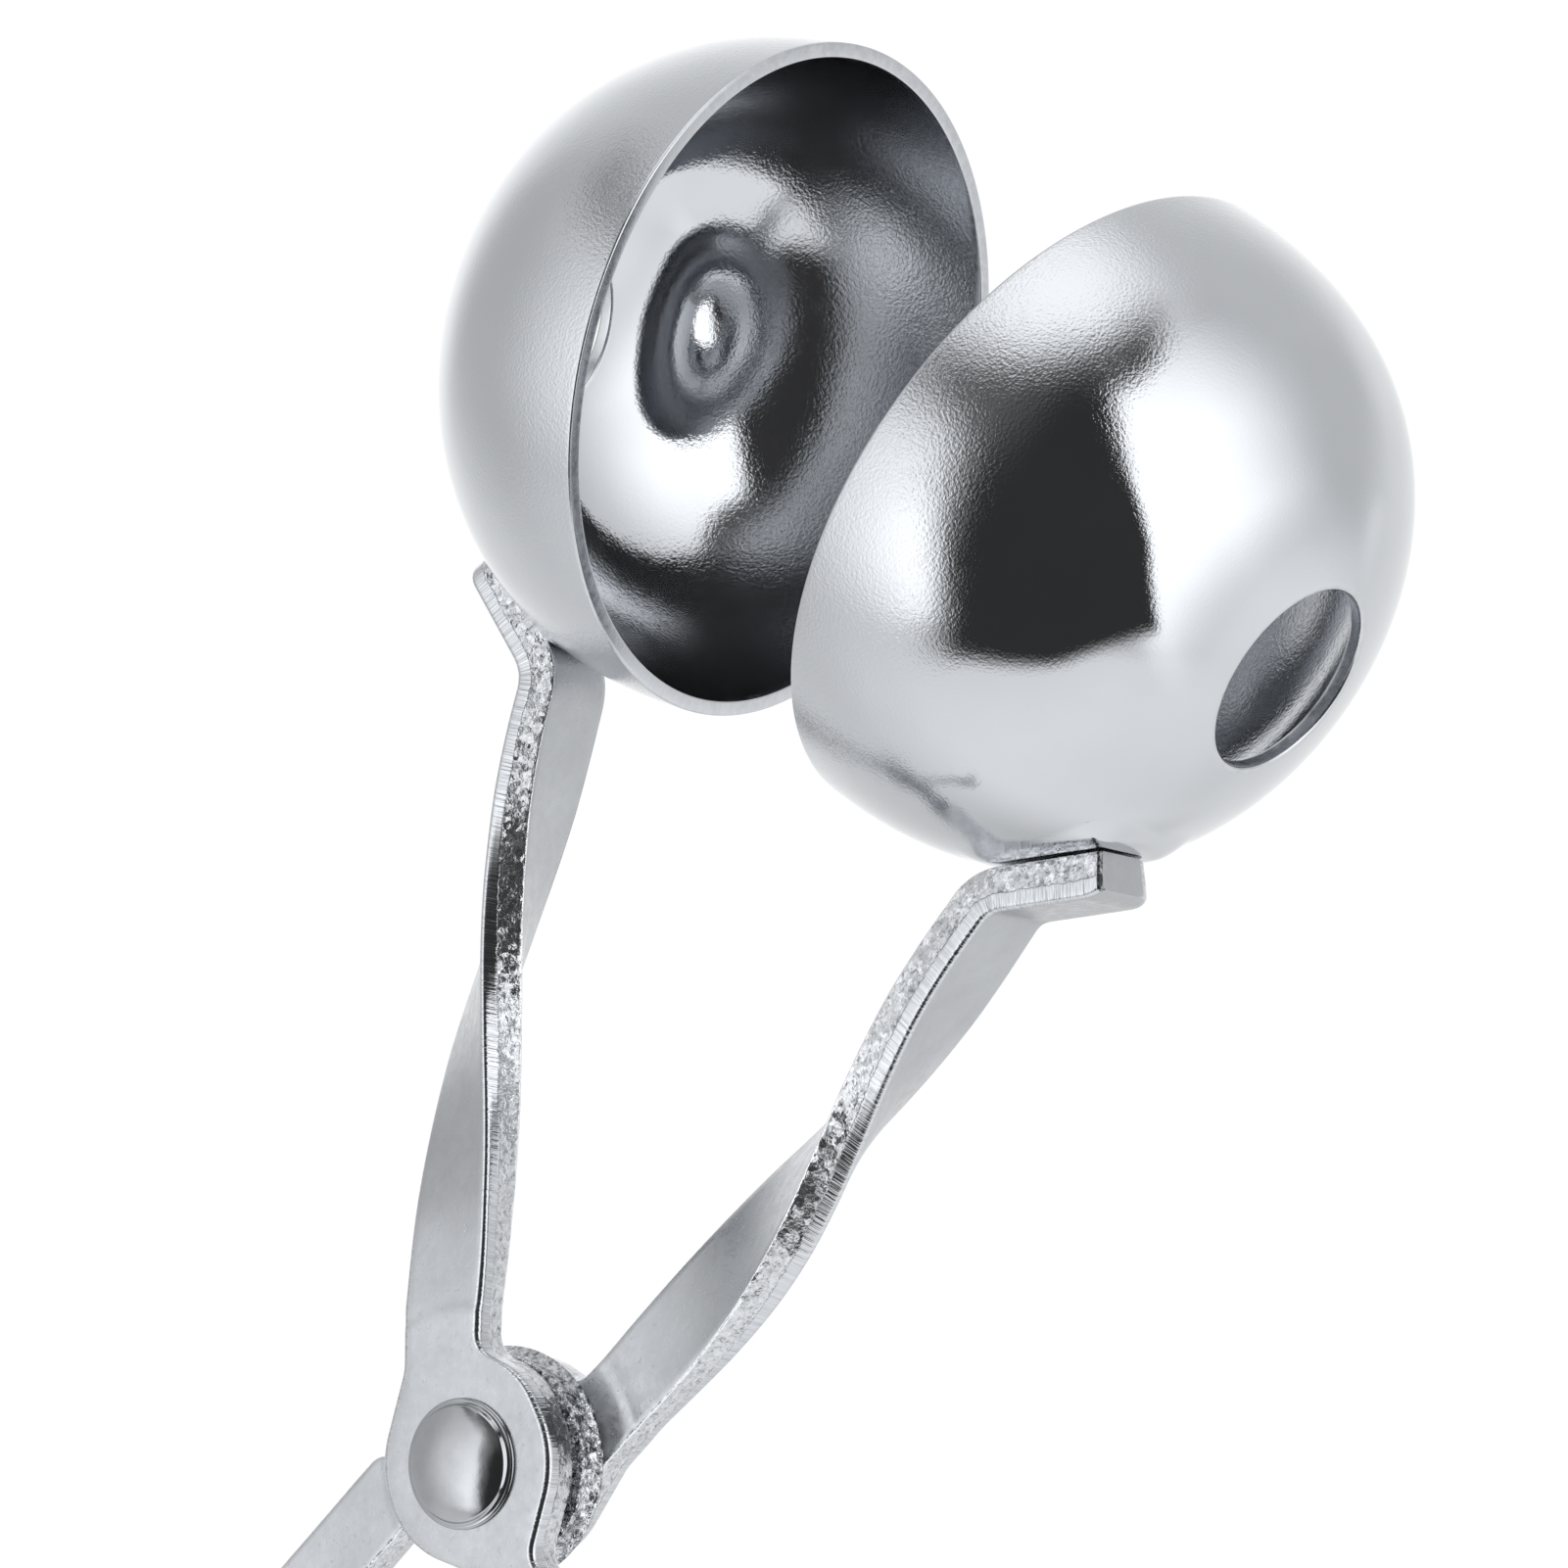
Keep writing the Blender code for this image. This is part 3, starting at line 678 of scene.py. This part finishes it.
def eye_sides(form):
    """The eye's two outlines, from the handle's root to the arm's root."""
    r = EYE_RADIUS
    arm = heading_between(ARM_ROOT, form.bend)
    handle = heading_between(HANDLE_MID, HANDLE_ROOT)
    arm_outer = offset_point(ARM_ROOT, arm, form.root_width / 2)
    arm_inner = offset_point(ARM_ROOT, arm, -form.root_width / 2)
    handle_inner = offset_point(HANDLE_ROOT, handle, HANDLE_ROOT_WIDTH / 2)
    handle_outer = offset_point(HANDLE_ROOT, handle, -HANDLE_ROOT_WIDTH / 2)
    left = rounded_path([
        (*handle_inner, 0.0),
        (-r, handle_inner[1] + 0.5, 0.25 * r),
        *quarter_turn(r, 90.0)[::-1],
        (arm_outer[0] - 0.6 * r, r, 0.5 * r),
        (*arm_outer, 0.0),
    ])
    right = rounded_path([
        (*handle_outer, 0.0),
        (handle_outer[0] + 2.6, handle_outer[1] + 0.6, 0.25 * r),
        (-0.62 * r, -1.07 * r, 0.3 * r),
        *quarter_turn(EYE_INNER_RADIUS, -90.0),
        (1.05 * EYE_INNER_RADIUS, arm_inner[1] - 0.6, 0.3 * r),
        (*arm_inner, 0.0),
    ])
    return left, right


def tab_line():
    """Where the middle of the tab lies, and which way it runs, from the cup's own curve."""
    angle = math.radians(TAB_ANGLE)
    c, s, n = math.cos(angle), math.sin(angle), CUP_FULLNESS
    reach = ((c / CUP_RADIUS) ** n + (s / CUP_DEPTH) ** n) ** (-1.0 / n)
    x, y = reach * c, reach * s
    normal = Vector((-x ** (n - 1) / CUP_RADIUS ** n, y ** (n - 1) / CUP_DEPTH ** n)).normalized()
    touch = Vector((PIVOT_TO_CUP - x, RIM_GAP / 2 + y))
    return touch + normal * (SHEET / 2), Vector((normal.y, -normal.x))


# Edge of the strip through its thickness: (inset in mm, share of the thickness from the outer face)
BURNISHED_SHARE = 0.4
EDGE_STEPS = [
    (0.34, 0.0), (0.24, 0.007), (0.14, 0.025), (0.06, 0.055), (0.015, 0.09), (0.0, 0.13), (0.0, 0.22),
    (0.0, 0.32), (0.0, BURNISHED_SHARE), (0.02, 0.43), (0.05, 0.55), (0.09, 0.68), (0.13, 0.8),
    (0.16, 0.9), (0.18, 0.96), (0.22, 0.99), (0.28, 1.0),
]
ROLLED_SHARE = 0.1  # the part of the thickness that the rolled-over corner takes
FACE_COLUMNS = 14
NARROW_HALF = 1.2  # where the strip is narrower than twice this, its edge steps shrink with it

HANDLE_ROWS = 150
EYE_ROWS = 90
ARM_ROWS = 170
END_ROWS = (0.24, 0.15, 0.08, 0.03, 0.0)  # extra rows close to the tab's end, as distances from it
EYE_SPAN = 20.0  # the eye's length in the distance along the lever
BLUNT_END = 0.985  # share of the rounded end's radius at which the handle's first row lies
ARM_WIDTH_AT = (0.0, 0.4, 0.8, 1.0)  # shares of the arm where its widths are given

# The levers are one stamping, but each is bent for its own cup
Form = namedtuple("Form", "bend bend_radius root_width tab_drop grip_drop rise twist_start twist_rest"
                  " slide reach heel_radius")
FRONT_FORM = Form(
    bend=(30.6, 9.8), bend_radius=88.0, root_width=6.3, tab_drop=LAYER + CUP_DROP + 0.75,
    grip_drop=LAYER + CUP_DROP, rise=0.95, twist_start=-2.0, twist_rest=1.0, slide=-0.3, reach=4.2,
    heel_radius=4.5)
REAR_FORM = Form(
    bend=(26.4, 9.15), bend_radius=128.0, root_width=5.6, tab_drop=LAYER - CUP_DROP + 0.4,
    grip_drop=LAYER - CUP_DROP, rise=-0.75, twist_start=-1.6, twist_rest=3.3, slide=0.5, reach=3.75,
    heel_radius=3.3)


def handle_rows(form):
    """From the handle's rounded end to its root."""
    corners = [(*HANDLE_END, 0.0), (*HANDLE_MID, HANDLE_BEND_RADIUS), (*HANDLE_ROOT, 0.0)]
    places, stations = evenly(rounded_path(corners), HANDLE_ROWS)
    from_root = stations[-1] - stations
    share = (from_root - HANDLE_TWIST_START) / HANDLE_TWIST_LENGTH
    widths = HANDLE_ROOT_WIDTH + (GRIP_WIDTH - HANDLE_ROOT_WIDTH) * ease(share)
    rounding = np.clip(1.0 - stations / (GRIP_WIDTH / 2), 0.0, BLUNT_END)
    widths = widths * np.sqrt(1.0 - rounding ** 2)
    return framed(places, -form.grip_drop * ease(share), -TWIST * soft_ramp(share), widths, stations)


def eye_rows(form, start):
    """Flat rows between the eye's two outlines."""
    lefts, rights = [evenly(side, EYE_ROWS)[0] for side in eye_sides(form)]
    rows = []
    for i in range(1, EYE_ROWS):
        a, b = lefts[i], rights[i]
        centre = Vector(((a[0] + b[0]) / 2, (a[1] + b[1]) / 2, 0.0))
        across = Vector((a[0] - b[0], a[1] - b[1], 0.0))
        at = start + EYE_SPAN * i / EYE_ROWS
        rows.append((centre, across.normalized(), Vector((0.0, 0.0, 1.0)), across.length / 2, at))
    return rows


def arm_rows(form, start):
    """From the arm's root, through its twist and over the heel, to the tab's end."""
    middle, along = tab_line()
    middle = middle + along * form.slide
    heel = middle - along * TAB_HEEL
    tip = middle + along * form.reach
    corners = [(*ARM_ROOT, 0.0), (*form.bend, form.bend_radius), (*heel, form.heel_radius), (*tip, 0.0)]
    places, stations = evenly(rounded_path(corners), ARM_ROWS)
    near_end = stations[-1] - np.array(END_ROWS)
    stations = np.concatenate([stations[:-1], near_end])
    last = places[-1] - places[-2]
    last /= np.hypot(*last)
    places = np.vstack([places[:-1], places[-1] + np.outer(near_end - near_end[-1], last)])
    heel_at = stations[-1] - form.reach - TAB_HEEL
    share = stations / heel_at
    full_twist = TWIST - math.degrees(form.rise / CUP_RADIUS)
    twist_length = heel_at - form.twist_rest - form.twist_start
    twists = full_twist * ease((stations - form.twist_start) / twist_length)
    heights = form.rise * ease((share - 0.45) / 0.5) - form.tab_drop * soft_ramp(share)
    widths = np.interp(share, ARM_WIDTH_AT, (form.root_width, ARM_WIDTH, ARM_END_WIDTH, TAB_WIDTH))
    return framed(places, heights, twists, widths, start + stations)


def strip_rows(form):
    """Frames across the lever from the handle's end to the tab's end.

    Each row is (centre, across, through, half width, distance along).
    """
    rows = handle_rows(form)
    root_at = rows[-1][4]
    rows += eye_rows(form, root_at)
    rows += arm_rows(form, root_at + EYE_SPAN)
    return rounded_end(rows)


def corner_inset(distance, radius):
    """How far the side of a rounded corner lies in, at a distance from the end."""
    left = max(radius - distance, 0.0)
    return radius - math.sqrt(radius ** 2 - left ** 2)


def rounded_end(rows):
    """Rounds the tab's two corners in plan, one of them only a little."""
    tip = rows[-1][4]
    done = []
    for centre, across, through, half, at in rows:
        one = corner_inset(tip - at, END_EDGE_CORNER)
        other = corner_inset(tip - at, END_CORNER)
        done.append((centre + across * (other - one) / 2, across, through, half - (one + other) / 2, at))
    return done


def framed(places, heights, twists, widths, distances):
    """Rows along a path, each turned about the path by its twist in degrees."""
    rows = []
    centres = [Vector((x, y, z)) for (x, y), z in zip(places, heights)]
    for i, centre in enumerate(centres):
        tangent = (centres[min(i + 1, len(centres) - 1)] - centres[max(i - 1, 0)]).normalized()
        left = Vector((0.0, 0.0, 1.0)).cross(tangent).normalized()
        up = tangent.cross(left)
        angle = math.radians(twists[i])
        across = left * math.cos(angle) - up * math.sin(angle)
        through = up * math.cos(angle) + left * math.sin(angle)
        rows.append((centre, across, through, widths[i] / 2, distances[i]))
    return rows


def coined(point):
    """How much prouder each face is here than the strip's own face."""
    distance = math.hypot(point.x, point.y)
    return COINING * (1.0 - float(ease((distance - COINED_RADIUS) / COINING_FADE)))


def away_from_eye(point):
    """0 on the eye, 1 out on the arm and the handle."""
    return float(ease((math.hypot(point.x, point.y) - COINED_RADIUS) / FACE_RISE_LENGTH))


def corner_roll(to_tip):
    """How far the outer face rolls over towards the sheared end of the tab."""
    share = max(1.0 - to_tip / END_ROLL_LENGTH, 0.0)
    return END_ROLL * share ** 2


# Material slots: faces, edges, and the painted shadow along the tab's cut corner
FACE, EDGE, PAINTED_SHADOW = 0, 1, 2


def face_columns(reach):
    """Places across a face, from one side to the other."""
    return [2 * reach * k / FACE_COLUMNS - reach for k in range(1, FACE_COLUMNS)]


def section_loop(half, centre):
    """Round the strip: outer face, one edge, inner face, other edge.

    Each point is (place across, share of the thickness, face or edge, place on the surface).
    """
    edge_scale = min(1.0, half / NARROW_HALF)
    roll_scale = edge_scale * (1.0 + EYE_ROLL * (1.0 - away_from_eye(centre)))
    outer_reach = half - EDGE_STEPS[0][0] * roll_scale
    inner_reach = half - EDGE_STEPS[-1][0] * edge_scale
    edge = []
    for inset, share in EDGE_STEPS:
        scale = roll_scale if share < ROLLED_SHARE else edge_scale
        edge.append((half - inset * scale, share, EDGE, share))
    loop = [(offset, 0.0, FACE, offset) for offset in face_columns(outer_reach)]
    loop += edge
    loop += [(-offset, 1.0, FACE, -offset) for offset in face_columns(inner_reach)]
    loop += [(-offset, share, EDGE, share) for offset, share, _, _ in edge[::-1]]
    return loop


def on_surface(row, offset, share, rolled):
    """A section point in space: the faces stand prouder in places, and the tab's end rolls over."""
    centre, across, through, _, _ = row
    spot = centre + across * offset
    base = SHEET / 2 + coined(spot)
    out_along = away_from_eye(spot)
    outer = base + ARM_SWELL * out_along - rolled
    inner = base + ARM_SWELL * out_along + EYE_SWELL * (1.0 - out_along)
    return spot + through * (outer - (outer + inner) * share)


def close_end(bm, uv_layer, ring, loop, order):
    """Caps the strip; order is -1 at the handle's end and 1 at the tab's."""
    cap = bm.faces.new(ring[::order])
    cap.material_index = FACE
    places = [(offset, share * SHEET) for offset, share, _, _ in loop][::order]
    for corner, place in zip(cap.loops, places):
        corner[uv_layer].uv = place


def lever_mesh(name, form, placement, slots):
    """The whole stamping as one closed skin: rows along it, and a loop of points round each row."""
    bm = bmesh.new()
    uv_layer = bm.loops.layers.uv.new("strip")
    rings, marks = [], []
    rows = strip_rows(form)
    tip = rows[-1][4]
    for row in rows:
        centre, _, _, half, at = row
        rolled = corner_roll(tip - at)
        loop = section_loop(half, centre)
        ring = [bm.verts.new(on_surface(row, offset, share, rolled)) for offset, share, _, _ in loop]
        rings.append(ring)
        marks.append([(at, value) for _, _, _, value in loop])
    kinds = [kind for _, _, kind, _ in loop]
    count = len(kinds)
    first_edge_ends = FACE_COLUMNS + len(EDGE_STEPS)
    cut_starts = len(rings) - len(END_ROWS)
    for i in range(len(rings) - 1):
        for k in range(count):
            j = (k + 1) % count
            face = bm.faces.new((rings[i][k], rings[i][j], rings[i + 1][j], rings[i + 1][k]))
            both_edge = kinds[k] == EDGE and kinds[j] == EDGE
            face.material_index = EDGE if both_edge else FACE
            # Edge faces on one side, close to the tab's end, take the painted shadow
            if both_edge and i >= cut_starts and k < first_edge_ends:
                face.material_index = PAINTED_SHADOW
            face.smooth = True
            corners = (marks[i][k], marks[i][j], marks[i + 1][j], marks[i + 1][k])
            for corner, mark in zip(face.loops, corners):
                corner[uv_layer].uv = mark
    close_end(bm, uv_layer, rings[0], loop, -1)
    close_end(bm, uv_layer, rings[-1], loop, 1)
    bmesh.ops.recalc_face_normals(bm, faces=bm.faces)
    return as_object(name, bm, placement, slots)


def lever_matrix(side):
    """Places a lever: the rear one is the same stamping turned over."""
    place = Matrix.Translation((0.0, 0.0, side * LAYER))
    turn = Matrix.Identity(4) if side > 0 else Matrix.Rotation(math.pi, 4, "X")
    return half_matrix(side) @ place @ turn


def make_lever(name, node, side, body, form, slots):
    lever = lever_mesh(name, form, lever_matrix(side), slots)
    lever.data.set_sharp_from_angle(angle=math.radians(50.0))
    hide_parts(node)
    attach(lever, body)
    return lever


# Studio

# The light tent as seen straight up: east and north in degrees from the zenith, so the horizon is
# a circle of radius 90, and what lies outside it is the lit floor as polished steel mirrors it.
# Each panel lies over those before it: corners anticlockwise, the softness of the edge after each
# corner, and radiance. All corners, most softnesses, half the radiances and the sky's and floor's levels
# are the rounded output of a least-squares fit to the brightness of the cups' reflections in the photo.
EAST_FLOOR = [(31, -160), (185, -69), (149, 119), (46, 128), (4, -61)]
NORTH_WALL = [(-76, 43), (44, 67), (21, 93), (-30, 106)]
WEST_WALL = [(-58, 53), (-155, -49), (-57, -135), (-24, -86), (-48, -22)]
SOUTH_EAST_SOFTBOX = [(-41, -93), (42, -111), (85, -59), (69, -19), (37, -19)]
NORTH_WEST_SOFTBOX = [(-46, -6), (1, 13), (-36, 31), (-49, 12)]
EAST_SOFTBOX = [(40, 4), (71, -15), (90, 12), (81, 45), (26, 25)]
CAMERA_OPENING = [(-58, -3), (-52, -48), (-28, -88), (4, -69), (56, -11), (27, 12)]
OPENING_EAR = [(40, -18), (50, -27), (64, -26), (82, -5), (42, -9)]
GAP_AT_TOP = [(8, -2), (41, -4), (28, 34), (17, 33)]
GAP_TO_NORTH = [(15, 44), (15, 29), (46, 63), (25, 62)]
LIGHT_PANELS = [
    (EAST_FLOOR, (7, 47, 115, 48, 57), 0.79),
    (NORTH_WALL, (13, 8, 14, 19), 0.69),
    (WEST_WALL, (25, 54, 15, 41, 4), 1.19),
    (SOUTH_EAST_SOFTBOX, (16, 26, 32, 6, 8), 1.8),
    (NORTH_WEST_SOFTBOX, (3, 46, 22, 3), 2.4),
    (EAST_SOFTBOX, (3, 17, 14, 7, 21), 1.61),
    (CAMERA_OPENING, (4, 4, 2, 2, 10, 10), 0.045),
    (OPENING_EAR, (2, 4, 3, 10, 6), 0.1),
    (GAP_AT_TOP, (12, 6, 3, 7), 0.16),
    (GAP_TO_NORTH, (3, 3, 8, 3), 0.34),
]
SKY_LEVEL = 0.87
FLOOR_LEVEL = 1.25
UNDER_LEVEL = 1.0  # right below the part
EASTERN_RISE = 0.0037  # how the floor brightens for each degree to the east
HORIZON_BAND = (85.0, 125.0)  # degrees from the zenith where the sky turns into the floor
UNDER_BAND = (140.0, 162.0)  # the same for the floor and what lies right below
FLOOR_HALF_WIDTH = 3.0  # metres, as the gap below the part is
FLOOR_GAP = 0.0002


def looking_up_plan(tree):
    """Each direction's place in the plan: its angle from the zenith, laid out along its compass bearing."""
    direction = split_xyz(tree, add_node(tree, "ShaderNodeTexCoord").outputs["Generated"])
    angle = math_node(tree, "MULTIPLY", math_node(tree, "ARCCOSINE", direction["Z"], 0.0), math.degrees(1.0))
    level = add_node(tree, "ShaderNodeCombineXYZ")
    set_inputs(tree, level.inputs, (direction["X"], direction["Y"]))
    bearing = add_node(tree, "ShaderNodeVectorMath", operation="NORMALIZE")
    link(tree, level.outputs["Vector"], bearing.inputs[0])
    plan = add_node(tree, "ShaderNodeVectorMath", operation="SCALE")
    link(tree, bearing.outputs["Vector"], plan.inputs[0])
    link(tree, angle, plan.inputs["Scale"])
    return plan.outputs["Vector"], angle


def panel_mask(tree, plan, corners, softness):
    """1 inside a convex panel, falling to 0 across its soft edges."""
    mask = None
    for (ax, ay), (bx, by), soft in zip(corners, corners[1:] + corners[:1], softness):
        edge = Vector((bx - ax, by - ay)).normalized()
        inward = Vector((-edge.y, edge.x))
        offset = inward.dot(Vector((ax, ay)))
        inside = vector_math(tree, "DOT_PRODUCT", plan, (inward.x, inward.y, 0.0))["Value"]
        side = remap(tree, inside, offset - soft, offset + soft, 0.0, 1.0, True)
        mask = side if mask is None else math_node(tree, "MULTIPLY", mask, side)
    return mask


def light_tent():
    """The world's light: sky, floor and the panels, each laid over those before it."""
    world = bpy.data.worlds.new("light_tent")
    bpy.context.scene.world = world
    world.use_nodes = True
    tree = world.node_tree
    background = tree.nodes["Background"]
    plan, angle = looking_up_plan(tree)
    east = split_xyz(tree, plan)["X"]
    floor = math_node(tree, "ADD", math_node(tree, "MULTIPLY", east, EASTERN_RISE), FLOOR_LEVEL)
    low = remap(tree, angle, *HORIZON_BAND, 0.0, 1.0, smooth=True)
    radiance = mixed(tree, low, SKY_LEVEL, floor)
    for corners, softness, level in LIGHT_PANELS:
        radiance = mixed(tree, panel_mask(tree, plan, corners, softness), radiance, level)
    below = remap(tree, angle, *UNDER_BAND, 0.0, 1.0, smooth=True)
    link(tree, mixed(tree, below, radiance, UNDER_LEVEL), background.inputs["Strength"])
    background.inputs["Color"].default_value = (0.993, 0.996, 1.0, 1.0)


def make_floor():
    """White table. The steel mirrors the tent's own lower half instead of it."""
    bm = bmesh.new()
    bmesh.ops.create_grid(bm, x_segments=1, y_segments=1, size=FLOOR_HALF_WIDTH)
    material, tree, shader = new_material("white_floor")
    shader.inputs["Metallic"].default_value = 0.0
    shader.inputs["Base Color"].default_value = (0.12, 0.12, 0.12, 1.0)
    shader.inputs["Roughness"].default_value = 1.0
    shader.inputs["Specular IOR Level"].default_value = 0.0
    shader.inputs["Emission Color"].default_value = (1.0, 1.0, 1.0, 1.0)
    shader.inputs["Emission Strength"].default_value = 0.95
    floor = as_object("floor", bm, Matrix.Translation((0.0, 0.0, -FLOOR_GAP)), [material])
    floor.visible_glossy = False


# Camera, solved from the photo: its place in metres, its lens and its sensor in millimetres
CAMERA_AT = (0.077366, -0.226413, 0.364793)
CAMERA_RIGHT = (0.426874, -0.744654, -0.513107)
CAMERA_UP = (0.903028, 0.381295, 0.197898)
LENS = 145.7685
SENSOR_WIDTH = 36.0
SHIFT = (-0.01522, -0.0246)


def make_camera():
    data = bpy.data.cameras.new("camera")
    data.sensor_width = SENSOR_WIDTH
    data.lens = LENS
    data.shift_x, data.shift_y = SHIFT
    data.clip_start = 0.01
    camera = bpy.data.objects.new("camera", data)
    right = Vector(CAMERA_RIGHT)
    up = Vector(CAMERA_UP)
    turn = Matrix((right, up, right.cross(up))).transposed().to_4x4()
    camera.matrix_world = Matrix.Translation(CAMERA_AT) @ turn
    bpy.context.scene.collection.objects.link(camera)
    bpy.context.scene.camera = camera


def main():
    cup_slots = [cup_outside_steel(), cup_inside_steel(), rim_steel()]
    # The strip's third slot is the painted shadow at the tab's cut corner
    strip_slots = [strip_face_steel(), strip_edge_steel(), cut_corner_painted_shadow()]
    make_cup("left_cup_shell", 1, "left_half", FRONT_FORM, cup_slots)
    make_cup("right_cup_shell", -1, "right_half", REAR_FORM, cup_slots)
    make_lever("front_lever_strip", "front_lever", 1, "left_half", FRONT_FORM, strip_slots)
    make_lever("rear_lever_strip", "rear_lever", -1, "right_half", REAR_FORM, strip_slots)
    make_rivet([rivet_head_steel()])
    make_spacer([spacer_rim_steel()])
    light_tent()
    make_floor()
    make_camera()
    bpy.context.scene.view_settings.view_transform = "Standard"


main()
